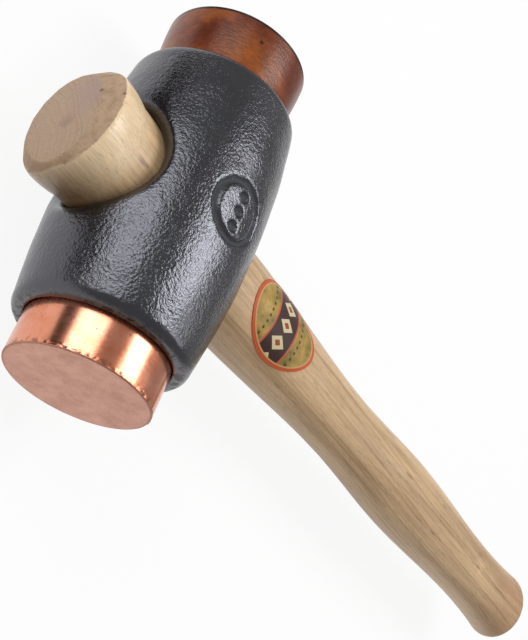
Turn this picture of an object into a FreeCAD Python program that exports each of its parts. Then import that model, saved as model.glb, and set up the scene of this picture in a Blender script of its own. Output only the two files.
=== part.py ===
import FreeCAD, Part
import math
import os

# A copper and rawhide hammer lying on its side, in millimetres.
# X runs along the head towards the copper face, Y along the handle towards the butt, Z is up.

# Head casting
face_diameter = 50.0
head_length = 102.6
barrel_swell = 4.3
socket_depth = 25.0
socket_taper = 0.7

# Wall round each socket at the barrel's end, its roundings given as shares of the wall
socket_wall = 5.0
lip_round_share = 0.8
socket_mouth_share = 0.24

# Tapered oval eye for the handle, wider at the top of the head than below it
eye_top_width = 41.2
eye_top_depth = 36.0
eye_bottom_width = 37.5
eye_top_round = 4.0
eye_bottom_round = 2.0

# Mark cast in the upper cheek, a ring-shaped groove round a row of pits
mark_diameter = 23.0
mark_groove_width = 2.4
mark_depth = 1.4
pit_diameter = 4.0
pit_spacing = 5.8
pit_count = 3

# Copper face
copper_stand_out = 15.6
copper_edge_round = 0.5

# Rawhide face, one strip rolled up tight and turned outside
hide_stand_out = 22.0
hide_flare = 1.3
hide_edge_chamfer = 0.8
hide_turns = 6
hide_core_radius = 2.2
hide_seam_gap = 0.4

# Stub of the handle above the head
stub_stand_out = 16.3
stub_width = 44.0
stub_depth = 39.4
stub_end_width = 43.4
stub_end_depth = 38.8
stub_swell_height = 10.9

# Flats worked round the stub's end at even steps, from the copper side towards the upper cheek.
# Each has how far out it meets the end, as a share of the stub's half width that way, and how far
# it then runs down for each length that it runs out.
stub_flat_shares = [
    (0.92, 1.3), (0.93, 1.3), (0.88, 1.1), (0.83, 0.8), (0.74, 0.5), (0.66, 0.43),
    (0.65, 0.43), (0.71, 0.6), (0.76, 0.8), (0.78, 0.9), (0.80, 0.9), (0.815, 0.85),
    (0.81, 0.8), (0.80, 0.8), (0.79, 0.8), (0.78, 0.9), (0.81, 1.1), (0.87, 1.3),
]

# Grip below the head, with places as shares of the way from the head to the butt
handle_length = 361.0
shoulder_share = 0.165
shoulder_width = 34.4
waist_share = 0.36
waist_width = 30.2
belly_share = 0.555
belly_width = 34.5
neck_share = 0.775
neck_width = 30.9
butt_width = 35.2
butt_round = 4.5
butt_trim = 0.3
grip_depth_share = 0.85

# Oval paper label on the grip, its distance measured from the middle of the head
label_distance = 62.6
label_length = 42.8
label_width = 28.0
label_thickness = 0.3

# How far a cutting body runs past the surface that it cuts
overrun = 4.0

# Places worked out from the sizes, in a frame at the middle of the head
half_head = head_length / 2
face_radius = face_diameter / 2
barrel_end_radius = face_radius + socket_wall
barrel_radius = barrel_end_radius + barrel_swell
barrel_diameter = 2 * barrel_radius
hide_end_radius = face_radius + hide_flare
eye_bottom_depth = eye_bottom_width * grip_depth_share
stub_reach = barrel_radius + stub_stand_out
butt_reach = handle_length - stub_reach
copper_reach = half_head + copper_stand_out
hide_reach = half_head + hide_stand_out

# The middle of the head in the part's own frame, whose origin is under the middle of the part
head_x = (hide_reach - copper_reach) / 2
head_y = (stub_reach - butt_reach) / 2
head_z = barrel_radius

ALONG_HEAD = FreeCAD.Vector(1, 0, 0)
ALONG_HANDLE = FreeCAD.Vector(0, 1, 0)
UP = FreeCAD.Vector(0, 0, 1)
CENTRE = FreeCAD.Vector()


def point(x=0.0, y=0.0, z=0.0):
    return FreeCAD.Vector(x, y, z)


def line(start, end):
    return Part.LineSegment(start, end).toShape()


def polyline(points):
    return [line(start, end) for start, end in zip(points, points[1:])]


def turned(edges, axis):
    """A solid turned about an axis through the middle of the head."""
    return Part.Face(Part.Wire(edges)).revolve(CENTRE, axis, 360)


def rounded_ring(body, centre, ring_radius, radius):
    """The body with its one circular edge of a known centre and radius rounded."""
    near = radius / 100

    def is_ring(edge):
        circle = edge.Curve
        if not isinstance(circle, Part.Circle):
            return False
        in_place = circle.Center.distanceToPoint(centre) < near
        return in_place and abs(circle.Radius - ring_radius) < near

    return body.makeFillet(radius, [edge for edge in body.Edges if is_ring(edge)])


def barrel(sunk=0.0):
    """The bulged body of the head, or the same with its surface sunk a little."""
    middle = sunk - barrel_radius
    end = sunk - barrel_end_radius
    copper_end = point(x=half_head, z=end)
    hide_end = point(x=-half_head, z=end)
    bulge = Part.Arc(hide_end, point(z=middle), copper_end).toShape()
    ends = polyline([copper_end, point(x=half_head), point(x=-half_head), hide_end])
    return turned([bulge] + ends, ALONG_HEAD)


def socket_plug(side):
    """What fills a tapered blind socket: side is 1 at the copper end, -1 at the hide end."""
    bottom = point(x=side * (half_head - socket_depth))
    bottom_radius = face_radius - socket_taper
    return Part.makeCone(bottom_radius, face_radius, socket_depth, bottom, ALONG_HEAD * side)


def oval(width, depth, place):
    """An oval across the handle, at a place along it."""
    flatten = FreeCAD.Matrix()
    flatten.scale(width / 2, 1, depth / 2)
    ring = Part.makeCircle(1, CENTRE, ALONG_HANDLE).transformGeometry(flatten)
    ring.translate(point(y=place))
    return Part.Wire(ring)


def eye_oval(place):
    """The eye's section at a place along the handle, in line with its top and bottom."""
    down_share = (place + barrel_radius) / barrel_diameter
    width = eye_top_width + (eye_bottom_width - eye_top_width) * down_share
    depth = eye_top_depth + (eye_bottom_depth - eye_top_depth) * down_share
    return oval(width, depth, place)


def eye_plug(beyond=0.0):
    """What fills the tapered eye, run on past the head at both ends."""
    end = barrel_radius + beyond
    return Part.makeLoft([eye_oval(-end), eye_oval(end)], True, True)


def mouth_edges(body, side):
    """The edges where the eye opens through the barrel: side is -1 at the top of the head."""
    found = []
    for edge in body.Edges:
        box = edge.BoundBox
        on_side = side * (box.YMin + box.YMax) > barrel_radius
        inside_barrel = box.XMax < face_radius and box.XMin > -face_radius
        if on_side and inside_barrel:
            found.append(edge)
    return found


def cheek_mark():
    """What the mark takes out of the upper cheek, everywhere to one depth."""
    reach = barrel_radius + overrun
    outer = Part.makeCylinder(mark_diameter / 2, reach, CENTRE, UP)
    inner = Part.makeCylinder(mark_diameter / 2 - mark_groove_width, reach, CENTRE, UP)
    first = -(pit_count - 1) / 2
    places = [point(x=(first + number) * pit_spacing) for number in range(pit_count)]
    pits = [Part.makeCylinder(pit_diameter / 2, reach, place, UP) for place in places]
    return outer.cut(inner).fuse(pits).cut(barrel(mark_depth))


def head_casting():
    body = barrel()
    for side in (1, -1):
        end = point(x=side * half_head)
        body = rounded_ring(body, end, barrel_end_radius, socket_wall * lip_round_share)
        body = body.cut(socket_plug(side))
        body = rounded_ring(body, end, face_radius, socket_wall * socket_mouth_share)
    body = body.cut(eye_plug(overrun))
    body = body.makeFillet(eye_top_round, mouth_edges(body, -1))
    body = body.makeFillet(eye_bottom_round, mouth_edges(body, 1))
    return body.cut(cheek_mark())


def copper_face():
    """A solid plug: tapered root in the socket, plain cylinder outside."""
    outside = Part.makeCylinder(face_radius, copper_stand_out, point(x=half_head), ALONG_HEAD)
    outside = rounded_ring(outside, point(x=copper_reach), face_radius, copper_edge_round)
    return socket_plug(1).fuse(outside)


def hide_seam():
    """The thin spiral space between the turns of the strip, made of half circles.

    The last half circle runs out below, through the turned surface, where the strip's end is skived.
    """
    pitch = (face_radius - hide_core_radius) / (hide_turns + 1)
    crossings = [hide_core_radius + pitch * count / 2 for count in range(2 * hide_turns + 1)]
    crossings.append(hide_end_radius + overrun / 2)

    def side_of_seam(offset):
        arcs = []
        turn = -1
        for inner, outer in zip(crossings, crossings[1:]):
            start = point(x=-hide_reach - overrun, y=turn * (inner + offset))
            end = point(x=-hide_reach - overrun, y=-turn * (outer + offset))
            middle = (start + end) / 2 + point(z=turn * (end - start).Length / 2)
            arcs.append(Part.Arc(start, middle, end))
            turn = -turn
        return arcs

    inside = side_of_seam(-hide_seam_gap / 2)
    outside = side_of_seam(hide_seam_gap / 2)
    closing = [
        line(inside[0].StartPoint, outside[0].StartPoint),
        line(inside[-1].EndPoint, outside[-1].EndPoint),
    ]
    edges = [arc.toShape() for arc in inside + outside] + closing
    outline = Part.Wire(Part.__sortEdges__(edges))
    return Part.Face(outline).extrude(ALONG_HEAD * (hide_stand_out + socket_depth + 2 * overrun))


def rawhide_face():
    """One strip rolled up: tapered root in the socket, flared outside it."""
    bottom = socket_depth - half_head
    outline = polyline([
        point(x=bottom),
        point(x=bottom, z=socket_taper - face_radius),
        point(x=-half_head, z=-face_radius),
        point(x=hide_edge_chamfer - hide_reach, z=-hide_end_radius),
        point(x=-hide_reach, z=hide_edge_chamfer - hide_end_radius),
        point(x=-hide_reach),
        point(x=bottom),
    ])
    return turned(outline, ALONG_HEAD).cut(hide_seam())


def grip(swollen=0.0):
    """The grip from under the head to the butt, or the same with its surface swollen a little.

    It is turned and rounded a trim too long, flattened, and then sawn off square at the butt.
    """
    turned_reach = butt_reach + butt_trim
    station_shares = [0, shoulder_share, waist_share, belly_share, neck_share, 1]
    widths = [eye_bottom_width, shoulder_width, waist_width, belly_width, neck_width, butt_width]
    grip_length = turned_reach - barrel_radius
    places = [
        point(y=barrel_radius + share * grip_length, z=-width / 2 - swollen)
        for share, width in zip(station_shares, widths)
    ]
    side = Part.BSplineCurve()
    side.interpolate(places)
    ends = polyline([places[-1], point(y=turned_reach), point(y=barrel_radius), places[0]])
    body = turned([side.toShape()] + ends, ALONG_HANDLE)
    body = rounded_ring(body, point(y=turned_reach), butt_width / 2 + swollen, butt_round)
    flatten = FreeCAD.Matrix()
    flatten.scale(1, 1, grip_depth_share)
    waste = Part.makeCylinder(butt_width, overrun, point(y=butt_reach), ALONG_HANDLE)
    return body.transformGeometry(flatten).cut(waste)


def with_flats(body):
    """The stub with the edge of its end worked off in flats."""
    for number, (reach_share, steepness) in enumerate(stub_flat_shares):
        turn = 2 * math.pi * number / len(stub_flat_shares)
        outward = point(x=math.cos(turn), z=math.sin(turn))
        half_across = math.hypot(stub_end_width * outward.x, stub_end_depth * outward.z) / 2
        at_end = point(y=-stub_reach) + outward * half_across * reach_share
        facing = outward * steepness - ALONG_HANDLE
        body = body.cut(Part.makeCylinder(stub_width, stub_width, at_end, facing))
    return body


def stub():
    """The swollen top of the handle that stands above the head."""
    swell_end = -barrel_radius - stub_swell_height
    half_way = (swell_end - barrel_radius) / 2
    near_width = (eye_top_width + 3 * stub_width) / 4
    near_depth = (eye_top_depth + 3 * stub_depth) / 4
    swell = Part.makeLoft([
        eye_oval(-barrel_radius),
        oval(near_width, near_depth, half_way),
        oval(stub_width, stub_depth, swell_end),
    ], True, False)
    end = Part.makeLoft([
        oval(stub_width, stub_depth, swell_end),
        oval(stub_end_width, stub_end_depth, -stub_reach),
    ], True, True)
    return with_flats(swell.fuse(end))


def handle():
    return stub().fuse([eye_plug(), grip()])


def handle_label():
    """A thin oval patch that follows the upper side of the grip."""
    shape = FreeCAD.Matrix()
    shape.scale(label_width / 2, label_length / 2, 1)
    outline = Part.makeCircle(1, CENTRE, UP).transformGeometry(shape)
    outline.translate(point(y=label_distance))
    prism = Part.Face(Part.Wire(outline)).extrude(UP * barrel_diameter)
    return grip(label_thickness).common(prism).cut(grip())


PIECES = {
    "head_casting": head_casting,
    "copper_face": copper_face,
    "rawhide_face": rawhide_face,
    "handle": handle,
    "handle_label": handle_label,
}

os.makedirs("parts", exist_ok=True)
for name, make in PIECES.items():
    shape = make()
    shape.translate(point(head_x, head_y, head_z))
    box = shape.BoundBox
    print(name, shape.isValid(), len(shape.Solids), "volume", round(shape.Volume))
    print("  x", round(box.XMin, 2), round(box.XMax, 2), "y", round(box.YMin, 2), round(box.YMax, 2))
    print("  z", round(box.ZMin, 2), round(box.ZMax, 2))
    shape.exportStep(os.path.join("parts", name + ".step"))
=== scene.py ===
import math
import bmesh
import bpy
from mathutils import Matrix, Vector, noise


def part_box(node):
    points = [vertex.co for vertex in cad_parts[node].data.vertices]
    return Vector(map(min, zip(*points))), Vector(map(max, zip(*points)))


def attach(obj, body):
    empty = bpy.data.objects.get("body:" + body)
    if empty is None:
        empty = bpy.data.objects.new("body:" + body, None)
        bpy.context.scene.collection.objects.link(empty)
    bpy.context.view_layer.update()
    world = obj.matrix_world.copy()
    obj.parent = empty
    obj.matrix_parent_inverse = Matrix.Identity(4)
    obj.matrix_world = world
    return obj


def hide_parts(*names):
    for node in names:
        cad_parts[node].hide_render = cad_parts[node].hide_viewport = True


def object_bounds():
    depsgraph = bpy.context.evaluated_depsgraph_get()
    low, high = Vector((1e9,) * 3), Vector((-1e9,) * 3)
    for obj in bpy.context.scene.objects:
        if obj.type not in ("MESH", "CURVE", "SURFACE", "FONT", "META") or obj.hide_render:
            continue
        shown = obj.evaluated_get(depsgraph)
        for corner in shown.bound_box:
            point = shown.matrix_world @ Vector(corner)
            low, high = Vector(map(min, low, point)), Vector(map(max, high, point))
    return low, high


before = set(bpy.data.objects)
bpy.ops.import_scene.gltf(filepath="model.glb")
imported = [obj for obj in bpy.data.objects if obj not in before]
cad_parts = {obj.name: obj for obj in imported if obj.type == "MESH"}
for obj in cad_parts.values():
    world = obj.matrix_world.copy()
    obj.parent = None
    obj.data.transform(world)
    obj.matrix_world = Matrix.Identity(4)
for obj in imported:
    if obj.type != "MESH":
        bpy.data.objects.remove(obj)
cad_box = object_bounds()

mm = 0.001

# Places and sizes read from the frame
head_low, head_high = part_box("head_casting")
copper_low, copper_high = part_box("copper_face")
hide_low, hide_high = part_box("rawhide_face")
handle_low, handle_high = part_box("handle")
label_low, label_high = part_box("handle_label")
head_centre = Vector((
    (head_low.x + head_high.x) / 2,
    (copper_low.y + copper_high.y) / 2,
    (copper_low.z + copper_high.z) / 2,
))
half_head = (head_high.x - head_low.x) / 2
barrel_radius = (head_high.z - head_low.z) / 2
copper_radius = (copper_high.z - copper_low.z) / 2
hide_end_radius = (hide_high.z - hide_low.z) / 2
barrel_end_radius = copper_radius + 5 * mm
copper_struck = copper_high.x - head_centre.x
hide_struck = hide_low.x - head_centre.x
stub_end = handle_low.y
butt_end = handle_high.y
floor_height = cad_box[0].z

# Camera, placed from the middle of the head
camera_from_head = Vector((0.1994, -0.2174, 0.2614))
camera_azimuth = 35.84
camera_elevation = 36.69
camera_roll = 89.05
camera_lens = 65.97

# Soft boxes: direction from the middle of the head, width, depth and brightness
lamp_distance = 0.9
lamps = {
    "overhead_box": (Vector((-0.35, 0.30, 0.88)), 0.46, 0.45, 6.1),
    "side_box": (Vector((-0.30, -0.82, 0.485)), 0.45, 0.66, 3.3),
    "back_box": (Vector((-0.12, 0.70, 0.70)), 0.28, 0.24, 2.4),
}
sky_grey = 0.365

# Floor: white to the camera by a share of glow over its pale paint
floor_reach = 3.0
floor_grey = 0.9
floor_roughness = 0.9
floor_glow_share = 0.9

# Black card that slopes up from the floor beside the head and shows only in reflections
card_near = Vector((-0.05, -0.13, -0.034))
card_far = Vector((-0.27, -0.54, 0.062))
card_near_width = 0.18
card_far_width = 0.72
card_grey = 0.01

# Cast head: even faces, smoothed lips, lumps and ripples of the sand on the barrel
merge_gap = 0.002 * mm
head_grain = 0.72 * mm
head_smoothing = 2
lip_depth = 1.6 * mm
lip_smoothing = 5
lump_depth = 0.22 * mm
lump_size = 15 * mm
lump_octaves = 2
ripple_depth = 0.015 * mm
ripple_size = 3.6 * mm
ripple_start = Vector((7, 3, 5))
fettled_share = 0.9
lip_calm_width = 5 * mm
mouth_calm_width = 7 * mm
mouth_calm_ratio = 1.1
mark_reach = 13 * mm
mark_depth = 1.4 * mm
mark_wall_top = 0.3 * mark_depth
mark_wall_foot = 0.8 * mark_depth

# Copper face: its root and rounded edge, the burr along its struck edge, and its dents
copper_sides = 320
copper_taper = 0.7 * mm
copper_mouth = 2 * mm
copper_side_steps = 26
copper_edge = 0.45 * mm
copper_edge_steps = 4
copper_face_steps = 24
copper_face_start = copper_radius - 1 * mm
copper_skin = 0.1 * mm
burr_height = 0.22 * mm
burr_width = 2.2 * mm
burr_steps = 9
burr_edge = 0.3 * mm
burr_size = 1.5 * mm
fine_burr_ratio = 2.3
fine_burr_share = 0.6
burr_lower = -0.2
burr_upper = 0.5
dent_depth = 0.05 * mm
dent_size = 7 * mm

# Rolled hide: one strip, its winding and the flare of its struck end
hide_root = 24 * mm
hide_mouth = 4 * mm
hide_neck = 1 * mm
hide_neck_steps = 8
hide_turn_sides = 96
hide_turns = 6
hide_start_turn = math.radians(60)
hide_core = 2.2 * mm
hide_gap = 0.16 * mm
hide_edge = 0.5 * mm
hide_edge_steps = 6
hide_shaving = 0.05 * mm
hide_flare_start = half_head - 2 * mm
hide_sections_apart = 10 * mm

# Handle
handle_grain = 0.85 * mm
handle_smoothing = 4
handle_crease = math.radians(24)

# Flats worked round the stub's end at even steps, from the copper side towards the upper cheek:
# share of the half width at which the flat meets the end, and steepness
stub_end_width = 43.4 * mm
stub_end_depth = 38.8 * mm
flat_shaving = 0.15 * mm
stub_flat_shares = [
    (0.92, 1.3), (0.93, 1.3), (0.88, 1.1), (0.83, 0.8), (0.74, 0.5), (0.66, 0.43),
    (0.65, 0.43), (0.71, 0.6), (0.76, 0.8), (0.78, 0.9), (0.80, 0.9), (0.815, 0.85),
    (0.81, 0.8), (0.80, 0.8), (0.79, 0.8), (0.78, 0.9), (0.81, 1.1), (0.87, 1.3),
]

# Enamel: pebbles and swells of the cast skin, and wear on the edges of the lips, which are also
# lighter there as a painted sheen line
pebble_size = 1.0 * mm
swell_size = 2.6 * mm
swell_share = 0.5
enamel_calm_share = 0.66
enamel_relief = 0.25 * mm
enamel_wear_size = 14 * mm
enamel_colours = [(0.35, (0.003, 0.0015, 0.001)), (0.7, (0.007, 0.004, 0.003))]
enamel_glosses = [(0.3, 0.16), (0.7, 0.25)]
enamel_index = 1.97
enamel_tint = (0.87, 0.89, 1.0, 1.0)
# Painted shade in the mark's groove and pits
groove_shade_colour = (0.002, 0.002, 0.002)
# Lighter patches along the lip edges: worn-through enamel, and a painted sheen line
chip_and_sheen_size = 2.2 * mm
chip_and_sheen_shares = [(0.48, 0.0), (0.60, 0.8)]
chip_and_sheen_start = half_head - 1.4 * mm
chip_and_sheen_end = half_head - 0.5 * mm
chip_and_sheen_colour = (0.10, 0.075, 0.055)
dull_gloss = (0.75, 0.75, 0.75)

# Copper: bright side with lathe marks, matt stained face, dark rim, specks, and dirt with painted
# shade in the recesses by the burr
lathe_size = 6 * mm
lathe_stretch = (14, 1, 1)
lathe_share = 0.25
cloud_size = 9 * mm
copper_side_colours = [
    (0.3, (0.70, 0.225, 0.118)), (0.5, (0.77, 0.30, 0.18)), (0.7, (0.83, 0.37, 0.25)),
]
copper_side_glosses = [(0.3, 0.17), (0.7, 0.24)]
stain_size = 7 * mm
copper_face_colours = [
    (0.30, (0.54, 0.28, 0.20)), (0.45, (0.61, 0.325, 0.24)), (0.70, (0.69, 0.395, 0.30)),
]
copper_face_glosses = [(0.3, 0.42), (0.7, 0.58)]
copper_matt_start = copper_struck - 0.6 * mm
copper_matt_end = copper_struck - 0.15 * mm
copper_rim_start = copper_radius - 1.0 * mm
copper_rim_end = copper_radius - 0.4 * mm
copper_rim_share = 0.6
copper_rim_colour = (0.30, 0.13, 0.08)
speck_size = 0.9 * mm
speck_tones = [(0.24, 0.45), (0.29, 1.0)]
# Dark spots by the burr: dirt, and painted shade of its recesses
burr_dirt_and_shade_size = 1.5 * mm
burr_dirt_and_shade_shares = [(0.50, 0.0), (0.60, 1.0)]
burr_dirt_and_shade_start = copper_struck - 2.6 * mm
burr_dirt_and_shade_end = copper_struck - 0.6 * mm
burr_dirt_and_shade_strength = 0.75
burr_dirt_and_shade_colour = (0.20, 0.07, 0.035)
scuff_size = 0.8 * mm
copper_relief = 0.05 * mm

# Hide under varnish: blotches, one amber patch, a speck, fibres, and the cut end
blotch_size = 17 * mm
blotch_colours = [
    (0.30, (0.10, 0.015, 0.005)), (0.46, (0.17, 0.031, 0.008)),
    (0.60, (0.28, 0.068, 0.013)), (0.78, (0.31, 0.095, 0.030)),
]
amber_place = (-58.8 * mm, -13 * mm, 22.4 * mm)
amber_radius = 13 * mm
amber_softness = 0.9
amber_shares = [(0.3, 0.5), (0.6, 1.0)]
amber_colour = (0.38, 0.10, 0.010)
hide_specks = [((-65.6 * mm, -12.4 * mm, 23.1 * mm), 1.1 * mm, 0.6, 1.0, (0.02, 0.006, 0.004))]
hide_fibre_size = 0.9 * mm
hide_fibre_stretch = (1, 0.4, 0.4)
hide_fibre_tones = [(0.3, 0.75), (0.7, 1.15)]
cut_start = hide_struck + 1.3 * mm
cut_end = hide_struck + 0.8 * mm
cut_size = 5 * mm
cut_colours = [(0.3, (0.16, 0.055, 0.02)), (0.7, (0.34, 0.15, 0.065))]
cut_rim_start = hide_end_radius - 2.2 * mm
cut_rim_end = hide_end_radius - 1 * mm
cut_rim_colour = (0.02, 0.008, 0.006)
hide_relief = 0.10 * mm
hide_gloss = 0.29
hide_level = 0.5
hide_tint = (1.0, 0.87, 0.78, 1.0)

# Growth rings of the ash, their middle a good way below the handle
ring_width = 1.5 * mm
ring_centre_drop = 75 * mm
ring_lean = math.radians(38)
ring_tilt = (math.radians(0.9), 0, math.radians(0.8))
ring_wander = 1.6 * mm
ring_wander_size = 16 * mm
ring_wander_stretch = (1, 0.07, 1)
ring_uneven_scale = 0.35
ring_uneven_share = 3.0
ring_shades = [(0.0, 0.1), (0.5, 0.15), (0.85, 1.0), (1.0, 0.1)]
ring_depth_span = 0.7
ring_depth_least = 0.3

# Noises of the wood: stretch along the handle, size, detail and roughness
wood_noises = {
    "fibre": (0.03, 0.55 * mm, 3.0, 0.6),
    "streaks": (0.025, 2.4 * mm, 2.0, 0.5),
    "pores": (0.06, 0.4 * mm, 1.0, 0.5),
    "flecks": (0.13, 2.2 * mm, 0.0, 0.5),
    "broad": (0.05, 9 * mm, 2.0, 0.5),
    "torn": (0.2, 3.0 * mm, 2.0, 0.5),
}

# Ash along the grain: rings fainter on the paler stub, flecks on the grip alone. The stub's paler
# colour is partly fresh-shaved wood and partly painted sheen
stub_blend_start = 4 * mm - barrel_radius
stub_blend_end = -2 * mm - barrel_radius
ash_colour = (0.65, 0.45, 0.265)
ring_colour = (0.44, 0.275, 0.147)
ring_strength = 0.85
ring_fading = 0.5
broad_tones = [
    (0.35, (0.80, 0.76, 0.70)), (0.48, (0.98, 0.96, 0.93)), (0.65, (1.08, 1.07, 1.04)),
]
streak_tones = [
    (0.32, (0.82, 0.78, 0.72)), (0.5, (1.0, 1.0, 1.0)), (0.68, (1.08, 1.08, 1.06)),
]
# Paler stub colour: partly fresh-shaved wood, partly painted sheen
pale_stub_and_sheen_strength = 0.75
pale_stub_and_sheen_colour = (0.95, 0.73, 0.47)
fleck_shares = [(0.17, 0.55), (0.22, 0.0)]
fleck_colour = (0.16, 0.08, 0.04)

# Ash across the grain: the sawn end, and round it the flats where the fibres are torn.
# Spots are given by their place on the end, radius, softness, share and colour
end_facing = (0.45, 0.6)
sawn_facing = (0.975, 0.995)
end_ring_share = 0.75
end_colour = (0.485, 0.335, 0.225)
end_ring_colour = (0.36, 0.235, 0.155)
end_patches = [
    ((-9 * mm, 0, 6 * mm), 12 * mm, 0.8, 0.8, (0.43, 0.29, 0.25)),
    ((3.2 * mm, 0, 1.4 * mm), 4 * mm, 0.9, 0.5, (0.27, 0.175, 0.125)),
]
torn_colours = [
    (0.30, (0.40, 0.26, 0.15)), (0.5, (0.49, 0.325, 0.20)), (0.7, (0.54, 0.365, 0.235)),
]
end_specks = [
    ((-8.4 * mm, 0.5 * mm, 9.8 * mm), 1.1 * mm, 0.7, 1.0, (0.16, 0.08, 0.05)),
    ((-8.3 * mm, 2.5 * mm, 17.6 * mm), 1.1 * mm, 0.7, 1.0, (0.16, 0.08, 0.05)),
]

# Grime and painted shade on the stub beside the head, where the barrel shades it, given from the sawn
# end
grime_and_shade_place = (23 * mm, 15 * mm, -1 * mm)
grime_and_shade_radius = 21 * mm
grime_and_shade_softness = 0.75
grime_and_shade_colour = (0.25, 0.15, 0.075)
torn_grime_and_shade_share = 1.2
torn_grime_and_shade_colour = (0.27, 0.16, 0.085)

# Stain of the hand on the butt, given from its end
hand_place = (-9 * mm, 0, 7 * mm)
hand_radius = 46 * mm
hand_softness = 0.9
hand_shares = [(0.35, 0.85), (0.6, 0.6)]
hand_colour = (0.40, 0.21, 0.11)

# Tones, relief and gloss of the whole handle
fibre_tones = [(0.3, 0.88), (0.7, 1.08)]
pore_tones = [(0.28, 0.72), (0.40, 1.0)]
fibre_share = 0.6
pore_share = 0.4
plane_share = 2.2
wood_relief = 0.10 * mm
grip_glosses = [(0.3, 0.34), (0.7, 0.46)]
stub_glosses = [(0.3, 0.20), (0.7, 0.32)]
end_gloss = (0.6, 0.6, 0.6)

# Printed pattern of the label: rim, band across it, rhombs on the band and rows of dots
print_softness = 0.12 * mm
label_rim = 1.3 * mm
label_inner_rim = label_rim + 0.5 * mm
band_half = 6.4 * mm
band_edge = 0.9 * mm
rhomb_pitch = 7.2 * mm
rhomb_slope = 1.5
rhomb_reach = 4.4 * mm
rhomb_heart = 1.9 * mm
dot_pitch = 2.5 * mm
dot_row = 10.4 * mm
dot_radius = 0.6 * mm
foil_size = 7 * mm
foil_colours = [
    (0.3, (0.13, 0.12, 0.025)), (0.45, (0.32, 0.215, 0.05)),
    (0.6, (0.46, 0.29, 0.07)), (0.75, (0.60, 0.42, 0.15)),
]
dot_colour = (0.07, 0.05, 0.02)
band_edge_colour = (0.52, 0.10, 0.055)
band_colour = (0.05, 0.022, 0.018)
rhomb_colour = (0.66, 0.56, 0.32)
rhomb_heart_colour = (0.30, 0.06, 0.035)
inner_rim_colour = (0.60, 0.37, 0.16)
rim_colour = (0.58, 0.10, 0.03)
label_gloss = 0.42
label_level = 0.3


def new_object(name, data):
    """An object of the scene that holds a mesh, a lamp or a camera."""
    made = bpy.data.objects.new(name, data)
    bpy.context.scene.collection.objects.link(made)
    return made


def new_piece(name, mesh, material, node):
    """A finished piece that stands for a node and rides with the hammer."""
    piece = new_object(name, mesh)
    mesh.materials.append(material)
    for face in mesh.polygons:
        face.use_smooth = True
    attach(piece, "root")
    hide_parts(node)
    return piece


def made_mesh(body, name):
    mesh = bpy.data.meshes.new(name)
    body.to_mesh(mesh)
    body.free()
    return mesh


def closed_mesh(body, name):
    """The mesh of a closed body, its faces turned outwards."""
    bmesh.ops.recalc_face_normals(body, faces=body.faces)
    return made_mesh(body, name)


def merged_copy(node):
    """A copy of a node's mesh with its loose triangles joined."""
    body = bmesh.new()
    body.from_mesh(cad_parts[node].data)
    bmesh.ops.remove_doubles(body, verts=body.verts, dist=merge_gap)
    return body


def smoothed(body, verts, along_head=True):
    """One round of smoothing, which may leave each place along the head as it is."""
    bmesh.ops.smooth_vert(
        body, verts=verts, factor=0.5, use_axis_x=along_head, use_axis_y=True, use_axis_z=True
    )


def even_copy(node, grain, smoothing, crisp=None):
    """The same surface in small even faces, smoothed, but only once where it is to stay crisp."""
    mesh = closed_mesh(merged_copy(node), node + "_even")
    rough = new_object(node + "_even", mesh)
    remesh = rough.modifiers.new("even", "REMESH")
    remesh.mode = "VOXEL"
    remesh.voxel_size = grain
    graph = bpy.context.evaluated_depsgraph_get()
    body = bmesh.new()
    body.from_object(rough, graph)
    bpy.data.objects.remove(rough)
    verts = body.verts[:]
    for _ in range(smoothing):
        smoothed(body, verts)
        if crisp:
            verts = [vert for vert in verts if not crisp(vert.co)]
    return body


def eased(value, start, end):
    """0 before start, 1 past end, and smooth between them."""
    share = min(max((value - start) / (end - start), 0), 1)
    return share * share * (3 - 2 * share)


def casting_calm(place):
    """1 on the fettled lips and round the eye's mouth, 0 on the rough barrel."""
    from_middle = abs(place.x - head_centre.x)
    lip = eased(from_middle, half_head - lip_calm_width, half_head - lip_calm_width / 3)
    mouth_radius = (copper_radius + barrel_radius) / 2 - mouth_calm_width
    across = math.hypot(place.x - head_centre.x, (place.z - head_centre.z) * mouth_calm_ratio)
    mouth = 1 - eased(across, mouth_radius, mouth_radius + mouth_calm_width)
    on_top = eased(head_centre.y - place.y, 0, barrel_radius / 2)
    return max(lip, mouth * on_top)


def in_mark(place):
    """Whether a place lies within the round mark on the upper cheek."""
    out = place - head_centre
    return out.z > 0 and math.hypot(out.x, out.y) < mark_reach


def depth_in_mark(place):
    """0 on the barrel's own surface, 1 at the bottom of the mark's groove and pits."""
    if not in_mark(place):
        return 0.0
    out = place - head_centre
    bulge = (barrel_radius - barrel_end_radius) * (out.x / half_head) ** 2
    sunk = barrel_radius - bulge - math.hypot(out.y, out.z)
    return eased(sunk, mark_wall_top, mark_wall_foot)


def cast_head():
    """The casting, its lips evened and its barrel sunk by up to the depth of its lumps."""
    body = even_copy("head_casting", head_grain, head_smoothing, in_mark)
    lips = [vert for vert in body.verts if abs(vert.co.x - head_centre.x) > half_head - lip_depth]
    for _ in range(lip_smoothing):
        smoothed(body, lips, along_head=False)
    calm_layer = body.verts.layers.float.new("calm")
    sunk_layer = body.verts.layers.float.new("sunk")
    for vert in body.verts:
        place = vert.co
        calm = casting_calm(place)
        lump = 0.5 + noise.fractal(place / lump_size, 1.0, 2.0, lump_octaves)
        ripple = 0.5 + noise.noise(place / ripple_size + ripple_start)
        sink = lump * lump_depth + ripple * ripple_depth
        vert[calm_layer] = calm
        vert[sunk_layer] = depth_in_mark(place)
        vert.co -= vert.normal * max(sink, 0) * (1 - fettled_share * calm)
    mesh = closed_mesh(body, "cast_head")
    return new_piece("cast_head", mesh, black_enamel(), "head_casting")


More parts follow.
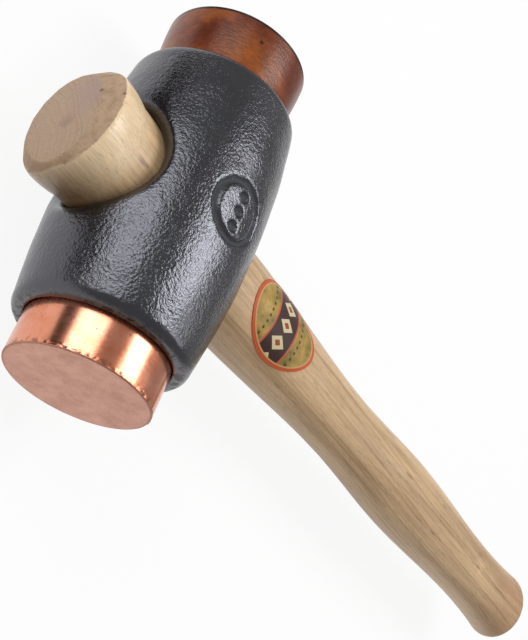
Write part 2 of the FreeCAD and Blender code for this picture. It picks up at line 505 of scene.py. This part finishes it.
def spun(profile, sides):
    """A closed body turned from a profile about the head's own axis."""
    body = bmesh.new()
    verts = [body.verts.new(head_centre + Vector((x, 0, radius))) for x, radius in profile]
    edges = [body.edges.new(pair) for pair in zip(verts, verts[1:])]
    bmesh.ops.spin(
        body, geom=verts + edges, cent=head_centre, axis=(1, 0, 0), angle=2 * math.pi,
        steps=sides, use_merge=True, use_duplicate=False,
    )
    bmesh.ops.remove_doubles(body, verts=body.verts, dist=merge_gap)
    return body


def steps_between(start, end, count):
    return [start + (end - start) * number / count for number in range(count)]


def copper_profile():
    """Half the plug's section: tapered root, straight side, rounded edge and flat face."""
    root = copper_low.x - head_centre.x
    burr_start = copper_struck - burr_width
    edge_start = copper_struck - copper_edge
    profile = [(root, 0), (root, copper_radius - copper_taper)]
    profile.append((half_head - copper_mouth, copper_radius))
    side = steps_between(half_head, burr_start, copper_side_steps)
    side += steps_between(burr_start, edge_start, burr_steps)
    profile += [(x, copper_radius) for x in side]
    for number in range(copper_edge_steps + 1):
        turn = math.pi / 2 * number / copper_edge_steps
        profile.append((
            edge_start + copper_edge * math.sin(turn),
            copper_radius - copper_edge + copper_edge * math.cos(turn),
        ))
    face = steps_between(copper_face_start, 0, copper_face_steps)
    profile += [(copper_struck, radius) for radius in face]
    profile.append((copper_struck, 0))
    return profile


def copper_plug():
    """The copper face, burred along the upper part of its struck edge and a little dented."""
    body = spun(copper_profile(), copper_sides)
    body.normal_update()
    for vert in body.verts:
        from_axis = vert.co - head_centre
        outward = Vector((0, from_axis.y, from_axis.z))
        if outward.length < 1 * mm or from_axis.x < half_head:
            continue
        outward.normalize()
        near_rim = 1 - eased(copper_struck - from_axis.x, burr_edge, burr_width)
        upper = eased(outward.z, burr_lower, burr_upper)
        burr = noise.noise(vert.co / burr_size)
        burr += fine_burr_share * noise.noise(vert.co / burr_size * fine_burr_ratio)
        dent = max(noise.noise(vert.co / dent_size), 0) * dent_depth
        if from_axis.x > copper_struck - copper_skin:
            vert.co.x -= dent
        else:
            vert.co += outward * (burr * burr_height * near_rim * upper * upper - dent)
    mesh = closed_mesh(body, "copper_plug")
    return new_piece("copper_plug", mesh, turned_copper(), "copper_face")


def hide_outline():
    """The strip's section beside the axis: distance along the head, and side of the strip."""
    edge = hide_struck + hide_shaving + hide_edge
    along = [-half_head + hide_root, -half_head + hide_mouth, -half_head]
    along += steps_between(-half_head - hide_neck, edge, hide_neck_steps)
    inner = [(x, 0.0) for x in along]
    outer = [(x, 1.0) for x in reversed(along)]
    crown = []
    for number in range(hide_edge_steps + 1):
        turn = math.pi * number / hide_edge_steps
        crown.append((edge - hide_edge * math.sin(turn), 0.5 - 0.5 * math.cos(turn)))
    return inner + crown + outer


def rolled_hide():
    """One strip of hide rolled up, its last turn skived to nothing under the roll."""
    outline = hide_outline()
    pitch = (copper_radius - hide_core) / (hide_turns + 1)
    body = bmesh.new()
    along_layer = body.verts.layers.float.new("along")
    verts = [body.verts.new((x, 0, side)) for x, side in outline]
    for vert in verts:
        vert[along_layer] = vert.co.x
    edges = [body.edges.new(pair) for pair in zip(verts, verts[1:] + verts[:1])]
    steps = (hide_turns + 2) * hide_turn_sides
    bmesh.ops.spin(
        body, geom=verts + edges, cent=(0, 0, 0), axis=(1, 0, 0),
        dvec=(hide_sections_apart, 0, 0), angle=0, steps=steps, use_merge=False,
        use_duplicate=False,
    )
    bmesh.ops.holes_fill(body, edges=body.edges, sides=len(outline))
    for vert in body.verts:
        along = vert[along_layer]
        step = round((vert.co.x - along) / hide_sections_apart)
        side = vert.co.z
        wound = step / hide_turn_sides
        inner = hide_core / 2 + pitch * wound
        outer = inner + pitch - hide_gap
        flare = eased(-along, hide_flare_start, -hide_struck)
        turned = copper_radius + (hide_end_radius - copper_radius) * flare
        swell = turned / copper_radius
        radius = min((inner + (outer - inner) * side) * swell, turned)
        turn = 2 * math.pi * wound + hide_start_turn
        vert.co = head_centre + Vector((along, radius * math.sin(turn), radius * math.cos(turn)))
    bmesh.ops.remove_doubles(body, verts=body.verts, dist=merge_gap)
    bmesh.ops.dissolve_degenerate(body, edges=body.edges, dist=merge_gap)
    body.verts.layers.float.remove(along_layer)
    mesh = closed_mesh(body, "rolled_hide")
    return new_piece("rolled_hide", mesh, varnished_hide(), "rawhide_face")


def cut_off(body, place, normal):
    """Cuts a closed body by a plane, drops what lies outside and closes the cut with a face."""
    everything = body.verts[:] + body.edges[:] + body.faces[:]
    cut = bmesh.ops.bisect_plane(
        body, geom=everything, plane_co=place, plane_no=normal, clear_outer=True,
        dist=merge_gap / 10,
    )
    edges = [item for item in cut["geom_cut"] if isinstance(item, bmesh.types.BMEdge)]
    open_edges = [edge for edge in edges if edge.is_boundary]
    if open_edges:
        bmesh.ops.holes_fill(body, edges=open_edges, sides=0)


def ash_handle():
    """The handle, its stub sawn off flat with uneven flats round the end."""
    body = even_copy("handle", handle_grain, handle_smoothing)
    axis = Vector((head_centre.x, stub_end, head_centre.z))
    cut_off(body, axis + Vector((0, flat_shaving, 0)), Vector((0, -1, 0)))
    for number, (reach_share, steepness) in enumerate(stub_flat_shares):
        turn = 2 * math.pi * number / len(stub_flat_shares)
        outward = Vector((math.cos(turn), 0, math.sin(turn)))
        half_across = math.hypot(stub_end_width * outward.x, stub_end_depth * outward.z) / 2
        facing = (outward * steepness - Vector((0, 1, 0))).normalized()
        at_end = axis + outward * half_across * reach_share
        cut_off(body, at_end - facing * flat_shaving, facing)
    mesh = closed_mesh(body, "ash_handle")
    piece = new_piece("ash_handle", mesh, ash_wood(), "handle")
    mesh.set_sharp_from_angle(angle=handle_crease)
    return piece


def new_material(name):
    material = bpy.data.materials.new(name)
    material.use_nodes = True
    return material, material.node_tree, material.node_tree.nodes["Principled BSDF"]


def fill(tree, node, inputs):
    """Gives each input of a node a value or another node's output."""
    for name, value in inputs.items():
        if isinstance(value, bpy.types.NodeSocket):
            tree.links.new(value, node.inputs[name])
        else:
            node.inputs[name].default_value = value


def add(tree, kind, inputs=None, **settings):
    """A new node with its settings and inputs."""
    made = tree.nodes.new("ShaderNode" + kind)
    for name, value in settings.items():
        setattr(made, name, value)
    fill(tree, made, inputs or {})
    return made


def maths(tree, operation, first, second=0.0):
    return add(tree, "Math", {0: first, 1: second}, operation=operation).outputs[0]


def vectors(tree, operation, first, second=(0, 0, 0)):
    return add(tree, "VectorMath", {0: first, 1: second}, operation=operation).outputs[0]


def length(tree, vector):
    return add(tree, "VectorMath", {0: vector}, operation="LENGTH").outputs["Value"]


def object_place(tree, centre=(0, 0, 0), stretch=(1, 1, 1)):
    """Object coordinates, seen from a centre and stretched."""
    coordinates = add(tree, "TexCoord").outputs["Object"]
    moved = vectors(tree, "SUBTRACT", coordinates, tuple(centre))
    return add(tree, "Mapping", {"Vector": moved, "Scale": stretch}).outputs[0]


def coordinate(tree, place, axis):
    return add(tree, "SeparateXYZ", {0: place}).outputs[axis]


def from_head_axis(tree):
    return length(tree, object_place(tree, head_centre, (0, 1, 1)))


def attribute(tree, name):
    return add(tree, "Attribute", attribute_name=name, attribute_type="GEOMETRY").outputs["Fac"]


def share_from(tree, value, start, end):
    """0 where a value is at start or before it, 1 at end or past it, and even between them."""
    return add(tree, "MapRange", {
        "Value": value, "From Min": start, "From Max": end,
    }).outputs["Result"]


def soft_spot(tree, place, centre, radius, softness):
    """1 inside a ball round a place, fading to 0 at its radius."""
    away = add(tree, "VectorMath", {0: place, 1: centre}, operation="DISTANCE").outputs["Value"]
    return share_from(tree, away, radius, radius * (1 - softness))


def noisy(tree, place, size, detail, roughness, distortion=0.0):
    return add(tree, "TexNoise", {
        "Vector": place, "Scale": 1 / size, "Detail": detail,
        "Roughness": roughness, "Distortion": distortion,
    }).outputs["Fac"]


def ramp(tree, value, stops):
    """A colour for each value, between stops of a position and a colour or a grey."""
    made = add(tree, "ValToRGB", {"Fac": value})
    points = made.color_ramp.elements
    while len(points) < len(stops):
        points.new(0.5)
    for element, (position, colour) in zip(points, stops):
        element.position = position
        grey = isinstance(colour, (int, float))
        element.color = (colour, colour, colour, 1) if grey else (*colour, 1)
    return made.outputs["Color"]


def mixed(tree, share, first, second, blend="MIX"):
    """The first colour, and the second in its place by a share."""
    def as_input(colour):
        return colour if isinstance(colour, bpy.types.NodeSocket) else (*colour, 1)
    return add(tree, "Mix", {0: share, 6: as_input(first), 7: as_input(second)},
               data_type="RGBA", blend_type=blend).outputs[2]


def toned(tree, colour, tones):
    return mixed(tree, 1.0, colour, tones, "MULTIPLY")


def spotted(tree, place, colour, spots):
    """A colour with soft spots of a centre, radius, softness, share and colour each."""
    for centre, radius, softness, share, spot_colour in spots:
        spot = maths(tree, "MULTIPLY", soft_spot(tree, place, centre, radius, softness), share)
        colour = mixed(tree, spot, colour, spot_colour)
    return colour


def raised(tree, height, distance):
    return add(tree, "Bump", {"Height": height, "Distance": distance}).outputs["Normal"]


def black_enamel():
    """Black gloss enamel over a sandy cast skin, calmer and worn through on the lips, with a painted
    sheen line along their edges.
    """
    material, tree, shader = new_material("black_enamel")
    place = object_place(tree)
    sunk = attribute(tree, "sunk")
    fettled = maths(tree, "MULTIPLY", attribute(tree, "calm"), enamel_calm_share)
    pebbles = noisy(tree, place, pebble_size, 2.0, 0.6)
    swells = noisy(tree, place, swell_size, 1.0, 0.5)
    skin = maths(tree, "ADD", pebbles, maths(tree, "MULTIPLY", swells, swell_share))
    height = maths(tree, "MULTIPLY", skin, maths(tree, "SUBTRACT", 1.0, fettled))

    wear = noisy(tree, place, enamel_wear_size, 3.0, 0.6)
    from_middle = maths(tree, "ABSOLUTE", coordinate(tree, object_place(tree, head_centre), "X"))
    chips_and_sheen = ramp(tree, noisy(tree, place, chip_and_sheen_size, 3.0, 0.65), chip_and_sheen_shares)
    worn_and_sheen = maths(tree, "MULTIPLY", share_from(tree, from_middle, chip_and_sheen_start, chip_and_sheen_end), chips_and_sheen)
    # worn edges of the lips, which also serve as a painted sheen line
    colour = mixed(tree, worn_and_sheen, ramp(tree, wear, enamel_colours), chip_and_sheen_colour)
    # painted shade at the bottom of the mark's groove and pits
    colour = mixed(tree, sunk, colour, groove_shade_colour)
    gloss = ramp(tree, wear, enamel_glosses)
    gloss = mixed(tree, maths(tree, "MAXIMUM", sunk, worn_and_sheen), gloss, dull_gloss)
    fill(tree, shader, {
        "Base Color": colour, "Roughness": gloss, "Normal": raised(tree, height, enamel_relief),
        "IOR": enamel_index, "Specular Tint": enamel_tint,
    })
    return material


def turned_copper():
    """Bright turned copper on the side, dull and pinkish where it has struck."""
    material, tree, shader = new_material("turned_copper")
    place = object_place(tree, head_centre)
    along = coordinate(tree, place, "X")
    matt = share_from(tree, along, copper_matt_start, copper_matt_end)

    clouds = noisy(tree, place, cloud_size, 3.0, 0.6, 0.4)
    side = ramp(tree, clouds, copper_side_colours)
    side = toned(tree, side, ramp(tree, noisy(tree, place, speck_size, 1.0, 0.5), speck_tones))
    # dirt and painted shade in the burr's recesses
    burr_dirt_and_shade = ramp(tree, noisy(tree, place, burr_dirt_and_shade_size, 2.0, 0.6), burr_dirt_and_shade_shares)
    burr_dirt_and_shade = maths(tree, "MULTIPLY", burr_dirt_and_shade, share_from(tree, along, burr_dirt_and_shade_start, burr_dirt_and_shade_end))
    side = mixed(tree, maths(tree, "MULTIPLY", burr_dirt_and_shade, burr_dirt_and_shade_strength), side, burr_dirt_and_shade_colour)

    stains = noisy(tree, place, stain_size, 4.0, 0.6, 0.3)
    face = ramp(tree, stains, copper_face_colours)
    rim = share_from(tree, from_head_axis(tree), copper_rim_start, copper_rim_end)
    face = mixed(tree, maths(tree, "MULTIPLY", rim, copper_rim_share), face, copper_rim_colour)

    lathe = noisy(tree, object_place(tree, head_centre, lathe_stretch), lathe_size, 3.0, 0.6)
    scuffs = noisy(tree, place, scuff_size, 2.0, 0.6)
    side_gloss = ramp(tree, lathe, copper_side_glosses)
    face_gloss = ramp(tree, scuffs, copper_face_glosses)
    side_height = maths(tree, "MULTIPLY", lathe, lathe_share)
    height = add(tree, "Mix", {0: matt, 2: side_height, 3: scuffs}).outputs[0]
    fill(tree, shader, {
        "Base Color": mixed(tree, matt, side, face),
        "Roughness": mixed(tree, matt, side_gloss, face_gloss),
        "Normal": raised(tree, height, copper_relief), "Metallic": 1.0,
    })
    return material


def varnished_hide():
    """Rawhide under varnish: mottled red-brown with an amber patch, and a brown cut end."""
    material, tree, shader = new_material("varnished_hide")
    place = object_place(tree, head_centre)
    blotches = noisy(tree, place, blotch_size, 3.0, 0.5, 0.6)
    colour = ramp(tree, blotches, blotch_colours)
    amber = soft_spot(tree, place, amber_place, amber_radius, amber_softness)
    amber = maths(tree, "MULTIPLY", amber, ramp(tree, blotches, amber_shares))
    colour = mixed(tree, amber, colour, amber_colour)
    colour = spotted(tree, place, colour, hide_specks)
    fibre_place = object_place(tree, head_centre, hide_fibre_stretch)
    fibre = noisy(tree, fibre_place, hide_fibre_size, 3.0, 0.6)
    colour = toned(tree, colour, ramp(tree, fibre, hide_fibre_tones))

    cut = share_from(tree, coordinate(tree, place, "X"), cut_start, cut_end)
    cut_rim = share_from(tree, from_head_axis(tree), cut_rim_start, cut_rim_end)
    cut_colour = ramp(tree, noisy(tree, place, cut_size, 3.0, 0.6), cut_colours)
    cut_colour = mixed(tree, cut_rim, cut_colour, cut_rim_colour)
    fill(tree, shader, {
        "Base Color": mixed(tree, cut, colour, cut_colour),
        "Normal": raised(tree, fibre, hide_relief), "Roughness": hide_gloss,
        "Specular IOR Level": hide_level, "Specular Tint": hide_tint,
    })
    return material


def ring_lines(tree):
    """How dark the growth rings make the wood at a point, each ring of its own width and depth."""
    wander = add(tree, "TexNoise", {
        "Vector": object_place(tree, stretch=ring_wander_stretch), "Scale": 1 / ring_wander_size,
        "Detail": 3.0, "Roughness": 0.45,
    }).outputs["Color"]
    shift = vectors(tree, "SUBTRACT", wander, (0.5, 0.5, 0.5))
    shift = add(tree, "VectorMath", {0: shift, "Scale": 4 * ring_wander}, operation="SCALE")
    pith = Vector((
        head_centre.x + ring_centre_drop * math.sin(ring_lean),
        stub_end,
        head_centre.z - ring_centre_drop * math.cos(ring_lean),
    ))
    moved = vectors(tree, "ADD", object_place(tree, pith), shift.outputs[0])
    place = add(tree, "Mapping", {"Vector": moved, "Rotation": ring_tilt}).outputs[0]
    out = length(tree, vectors(tree, "MULTIPLY", place, (1, 0, 1)))
    rings_out = maths(tree, "DIVIDE", out, ring_width)
    uneven = add(tree, "TexNoise", {
        "W": rings_out, "Scale": ring_uneven_scale, "Detail": 1.0,
    }, noise_dimensions="1D").outputs["Fac"]
    count = maths(tree, "ADD", rings_out, maths(tree, "MULTIPLY", uneven, ring_uneven_share))
    depth = add(tree, "TexWhiteNoise", {
        "W": maths(tree, "FLOOR", count),
    }, noise_dimensions="1D").outputs["Value"]
    depth = maths(tree, "ADD", maths(tree, "MULTIPLY", depth, ring_depth_span), ring_depth_least)
    shade = ramp(tree, maths(tree, "FRACT", count), ring_shades)
    return maths(tree, "MULTIPLY", shade, depth)


def wood_noise(tree, stretch, size, detail, roughness):
    """A noise drawn out along the handle."""
    return noisy(tree, object_place(tree, stretch=(1, stretch, 1)), size, detail, roughness)


def side_wood(tree, grain, rings, on_stub, grime_and_shade):
    """The colour along the grain: ringed and flecked grip, paler stub with painted sheen, grime and
    painted shade beside the head.
    """
    fading = maths(tree, "MULTIPLY", on_stub, ring_fading)
    ring_share = maths(tree, "SUBTRACT", ring_strength, fading)
    colour = mixed(tree, maths(tree, "MULTIPLY", rings, ring_share), ash_colour, ring_colour)
    colour = toned(tree, colour, ramp(tree, grain["broad"], broad_tones))
    colour = toned(tree, colour, ramp(tree, grain["streaks"], streak_tones))
    # paler stub: fresh-shaved wood with painted sheen
    colour = mixed(tree, maths(tree, "MULTIPLY", on_stub, pale_stub_and_sheen_strength), colour, pale_stub_and_sheen_colour)
    fleck = maths(tree, "SUBTRACT", ramp(tree, grain["flecks"], fleck_shares), on_stub)
    colour = mixed(tree, add(tree, "Clamp", {0: fleck}).outputs[0], colour, fleck_colour)
    # darker beside the head: grime, and painted shade from the barrel
    return mixed(tree, grime_and_shade, colour, grime_and_shade_colour)


def end_wood(tree, grain, rings, at_end, sawn, grime_and_shade):
    """The colour across the grain: sawn end with its patches, torn flats round it, specks."""
    colour = mixed(tree, maths(tree, "MULTIPLY", rings, end_ring_share), end_colour, end_ring_colour)
    colour = spotted(tree, at_end, colour, end_patches)
    torn = ramp(tree, grain["torn"], torn_colours)
    # the torn flats are also darker beside the head: grime and painted shade
    torn_grime_and_shade = maths(tree, "MULTIPLY", grime_and_shade, torn_grime_and_shade_share)
    torn = mixed(tree, torn_grime_and_shade, torn, torn_grime_and_shade_colour)
    return spotted(tree, at_end, mixed(tree, sawn, torn, colour), end_specks)


def ash_wood():
    """Pale ash: growth rings along the handle, end grain and torn flats on the stub."""
    material, tree, shader = new_material("ash_wood")
    rings = ring_lines(tree)
    grain = {name: wood_noise(tree, *values) for name, values in wood_noises.items()}
    down = coordinate(tree, object_place(tree, head_centre), "Y")
    on_stub = share_from(tree, down, stub_blend_start, stub_blend_end)
    at_end = object_place(tree, (head_centre.x, stub_end, head_centre.z))
    # spot beside the head that stands for grime and for the barrel's shade
    grime_and_shade = soft_spot(tree, at_end, grime_and_shade_place, grime_and_shade_radius, grime_and_shade_softness)
    facing = maths(tree, "ABSOLUTE", coordinate(tree, add(tree, "TexCoord").outputs["Normal"], "Y"))
    end_share = share_from(tree, facing, *end_facing)
    sawn = share_from(tree, facing, *sawn_facing)

    side = side_wood(tree, grain, rings, on_stub, grime_and_shade)
    colour = mixed(tree, end_share, side, end_wood(tree, grain, rings, at_end, sawn, grime_and_shade))
    colour = toned(tree, colour, ramp(tree, grain["fibre"], fibre_tones))
    pores = ramp(tree, grain["pores"], pore_tones)
    colour = toned(tree, colour, pores)
    at_butt = object_place(tree, (head_centre.x, butt_end, head_centre.z))
    stain = soft_spot(tree, at_butt, hand_place, hand_radius, hand_softness)
    stain = maths(tree, "MULTIPLY", stain, ramp(tree, grain["broad"], hand_shares))
    colour = mixed(tree, stain, colour, hand_colour)

    fibres = maths(tree, "MULTIPLY", grain["fibre"], fibre_share)
    height = maths(tree, "ADD", fibres, maths(tree, "MULTIPLY", pores, pore_share))
    planed = maths(tree, "MULTIPLY", maths(tree, "MULTIPLY", grain["streaks"], on_stub), plane_share)
    height = maths(tree, "ADD", height, planed)
    grip_gloss = ramp(tree, grain["fibre"], grip_glosses)
    stub_gloss = ramp(tree, grain["fibre"], stub_glosses)
    gloss = mixed(tree, end_share, mixed(tree, on_stub, grip_gloss, stub_gloss), end_gloss)
    fill(tree, shader, {
        "Base Color": colour, "Roughness": gloss, "Normal": raised(tree, height, wood_relief),
    })
    return material


def inside(tree, value, limit):
    """1 where a value is under a limit, with a soft edge."""
    return share_from(tree, value, limit + print_softness, limit - print_softness)


def label_paper():
    """Gold paper with an orange-red rim, a dark band across it, a row of rhombs and dots."""
    material, tree, shader = new_material("label_paper")
    centre = (label_low + label_high) / 2
    half_long = (label_high.y - label_low.y) / 2
    half_wide = (label_high.x - label_low.x) / 2
    place = object_place(tree, centre)
    across = coordinate(tree, place, "X")
    from_band = maths(tree, "ABSOLUTE", coordinate(tree, place, "Y"))
    out = length(tree, object_place(tree, centre, (1 / half_wide, 1 / half_long, 0)))
    half_mean = (half_wide + half_long) / 2
    to_edge = maths(tree, "MULTIPLY", maths(tree, "SUBTRACT", 1.0, out), half_mean)
    foil = noisy(tree, object_place(tree), foil_size, 3.0, 0.6)
    colour = ramp(tree, foil, foil_colours)

    wave = maths(tree, "PINGPONG", across, dot_pitch / 2)
    from_row = maths(tree, "SUBTRACT", from_band, dot_row)
    dot = length(tree, add(tree, "CombineXYZ", {"X": wave, "Y": from_row}).outputs[0])
    colour = mixed(tree, inside(tree, dot, dot_radius), colour, dot_colour)

    band = inside(tree, from_band, band_half)
    band_line = inside(tree, from_band, band_half + band_edge)
    colour = mixed(tree, band_line, colour, band_edge_colour)
    colour = mixed(tree, band, colour, band_colour)
    step = maths(tree, "PINGPONG", across, rhomb_pitch / 2)
    slant = maths(tree, "ADD", maths(tree, "MULTIPLY", step, rhomb_slope), from_band)
    rhomb = maths(tree, "MULTIPLY", inside(tree, slant, rhomb_reach), band)
    colour = mixed(tree, rhomb, colour, rhomb_colour)
    colour = mixed(tree, inside(tree, slant, rhomb_heart), colour, rhomb_heart_colour)
    colour = mixed(tree, inside(tree, to_edge, label_inner_rim), colour, inner_rim_colour)
    colour = mixed(tree, inside(tree, to_edge, label_rim), colour, rim_colour)
    fill(tree, shader, {
        "Base Color": colour, "Roughness": label_gloss, "Specular IOR Level": label_level,
    })
    return material


def dress_label():
    """Gives the label's own node its printed paper."""
    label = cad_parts["handle_label"]
    label.data.materials.clear()
    label.data.materials.append(label_paper())


def make_camera():
    """The camera at the photograph's place, with its lens and roll."""
    data = bpy.data.cameras.new("camera")
    data.lens = camera_lens
    camera = new_object("camera", data)
    turn = Matrix.Rotation(math.radians(camera_azimuth), 4, "Z")
    tilt = Matrix.Rotation(math.radians(90 - camera_elevation), 4, "X")
    roll = Matrix.Rotation(math.radians(camera_roll), 4, "Z")
    place = Matrix.Translation(head_centre + camera_from_head)
    camera.matrix_world = place @ turn @ tilt @ roll
    bpy.context.scene.camera = camera


def make_lamps():
    """Soft boxes that face the head, each of an even brightness."""
    for name, (direction, width, depth, brightness) in lamps.items():
        data = bpy.data.lights.new(name, "AREA")
        data.shape = "RECTANGLE"
        data.size = width
        data.size_y = depth
        data.energy = brightness * math.pi * width * depth
        lamp = new_object(name, data)
        away = direction.normalized()
        turned = Vector((1, 0, 0)) - away * away.x
        turned.normalize()
        side = away.cross(turned)
        facing = Matrix((turned, side, away)).transposed().to_4x4()
        lamp.matrix_world = Matrix.Translation(head_centre + away * lamp_distance) @ facing
        lamp.visible_camera = False


def make_card():
    """A black card beside the head, to darken what the copper and the enamel mirror there."""
    across = (card_far - card_near).cross(Vector((0, 0, 1))).normalized()
    near_half = across * card_near_width / 2
    far_half = across * card_far_width / 2
    corners = [card_near + near_half, card_near - near_half, card_far - far_half, card_far + far_half]
    body = bmesh.new()
    verts = [body.verts.new(head_centre + place) for place in corners]
    bmesh.ops.contextual_create(body, geom=verts)
    mesh = made_mesh(body, "black_card")
    card = new_object("black_card", mesh)
    material, tree, shader = new_material("card_black")
    fill(tree, shader, {"Base Color": (card_grey,) * 3 + (1,), "Roughness": 1.0})
    mesh.materials.append(material)
    card.visible_camera = False
    card.visible_diffuse = False
    card.visible_shadow = False


def make_sky():
    """An even grey all round."""
    world = bpy.data.worlds.new("sky")
    world.use_nodes = True
    world.node_tree.nodes["Background"].inputs["Color"].default_value = (sky_grey,) * 3 + (1,)
    bpy.context.scene.world = world


def make_floor():
    """A pale floor that keeps a faint shadow, white to the camera and in reflections."""
    body = bmesh.new()
    bmesh.ops.create_grid(body, x_segments=1, y_segments=1, size=floor_reach)
    bmesh.ops.translate(body, verts=body.verts, vec=(0, 0, floor_height))
    mesh = made_mesh(body, "floor")
    floor = new_object("floor", mesh)
    material, tree, shader = new_material("floor_paint")
    fill(tree, shader, {
        "Base Color": (floor_grey,) * 3 + (1,), "Roughness": floor_roughness,
    })
    path = add(tree, "LightPath").outputs
    seen = maths(tree, "MAXIMUM", path["Is Camera Ray"], path["Is Glossy Ray"])
    seen = maths(tree, "MAXIMUM", seen, path["Is Transmission Ray"])
    share = maths(tree, "MULTIPLY", seen, floor_glow_share)
    glow = add(tree, "Emission", {"Color": (1, 1, 1, 1), "Strength": 1.0}).outputs[0]
    blend = add(tree, "MixShader", {0: share, 1: shader.outputs[0], 2: glow})
    fill(tree, tree.nodes["Material Output"], {"Surface": blend.outputs[0]})
    mesh.materials.append(material)


cast_head()
copper_plug()
rolled_hide()
ash_handle()
dress_label()
make_camera()
make_lamps()
make_card()
make_sky()
make_floor()
bpy.context.scene.view_settings.view_transform = "Standard"
